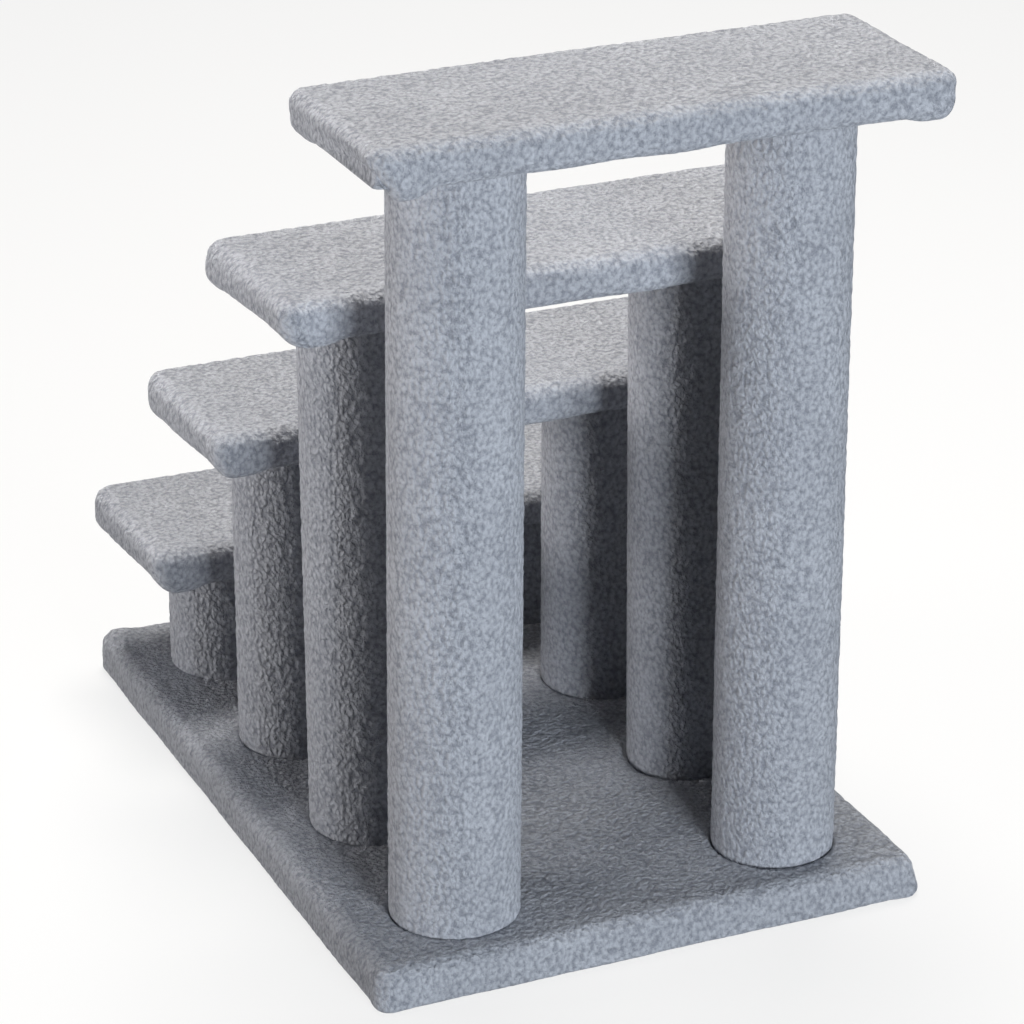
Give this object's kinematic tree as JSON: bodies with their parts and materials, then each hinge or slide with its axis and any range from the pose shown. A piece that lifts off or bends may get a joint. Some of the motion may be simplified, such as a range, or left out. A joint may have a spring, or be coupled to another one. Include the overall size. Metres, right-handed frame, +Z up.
{
  "type": "pet stairs",
  "caption": "Open-riser pet stairs: plush-covered treads in equal steps on round plush-covered posts, bolted to a flat plush-covered base.",
  "frame": {"origin": "on the floor, at the bottom centre of the whole part's bounding box", "axes": "+Z up, +Y the way the flight climbs, from the lowest tread to the highest, and +X to the right of a pet that climbs it"},
  "size_m": [0.406, 0.581, 0.595],
  "materials": {
    "plush": "short curly fleece pile, light blue-grey, matte",
    "chipboard": "bare pressed board",
    "paper_tube": "spiral-wound brown paper tube",
    "plug_wood": "bare wood",
    "zinc_steel": "bright zinc plate",
    "staple_steel": "galvanised wire"
  },
  "bodies": {
    "root": {"base_board": "chipboard", "base_cover": "plush", "base_bolts": "zinc_steel", "base_washers": "zinc_steel", "base_staples": "staple_steel", "tread_board_1": "chipboard", "tread_board_2": "chipboard", "tread_board_3": "chipboard", "tread_board_4": "chipboard", "tread_cover_1": "plush", "tread_cover_2": "plush", "tread_cover_3": "plush", "tread_cover_4": "plush", "tread_bolts": "zinc_steel", "tread_staples": "staple_steel", "post_tube_1_left": "paper_tube", "post_tube_1_right": "paper_tube", "post_tube_2_left": "paper_tube", "post_tube_2_right": "paper_tube", "post_tube_3_left": "paper_tube", "post_tube_3_right": "paper_tube", "post_tube_4_left": "paper_tube", "post_tube_4_right": "paper_tube", "post_cover_1_left": "plush", "post_cover_1_right": "plush", "post_cover_2_left": "plush", "post_cover_2_right": "plush", "post_cover_3_left": "plush", "post_cover_3_right": "plush", "post_cover_4_left": "plush", "post_cover_4_right": "plush", "foot_plug_1_left": "plug_wood", "foot_plug_1_right": "plug_wood", "foot_plug_2_left": "plug_wood", "foot_plug_2_right": "plug_wood", "foot_plug_3_left": "plug_wood", "foot_plug_3_right": "plug_wood", "foot_plug_4_left": "plug_wood", "foot_plug_4_right": "plug_wood", "head_plug_1_left": "plug_wood", "head_plug_1_right": "plug_wood", "head_plug_2_left": "plug_wood", "head_plug_2_right": "plug_wood", "head_plug_3_left": "plug_wood", "head_plug_3_right": "plug_wood", "head_plug_4_left": "plug_wood", "head_plug_4_right": "plug_wood", "foot_nuts": "zinc_steel", "head_nuts": "zinc_steel"}
  },
  "joints": []
}
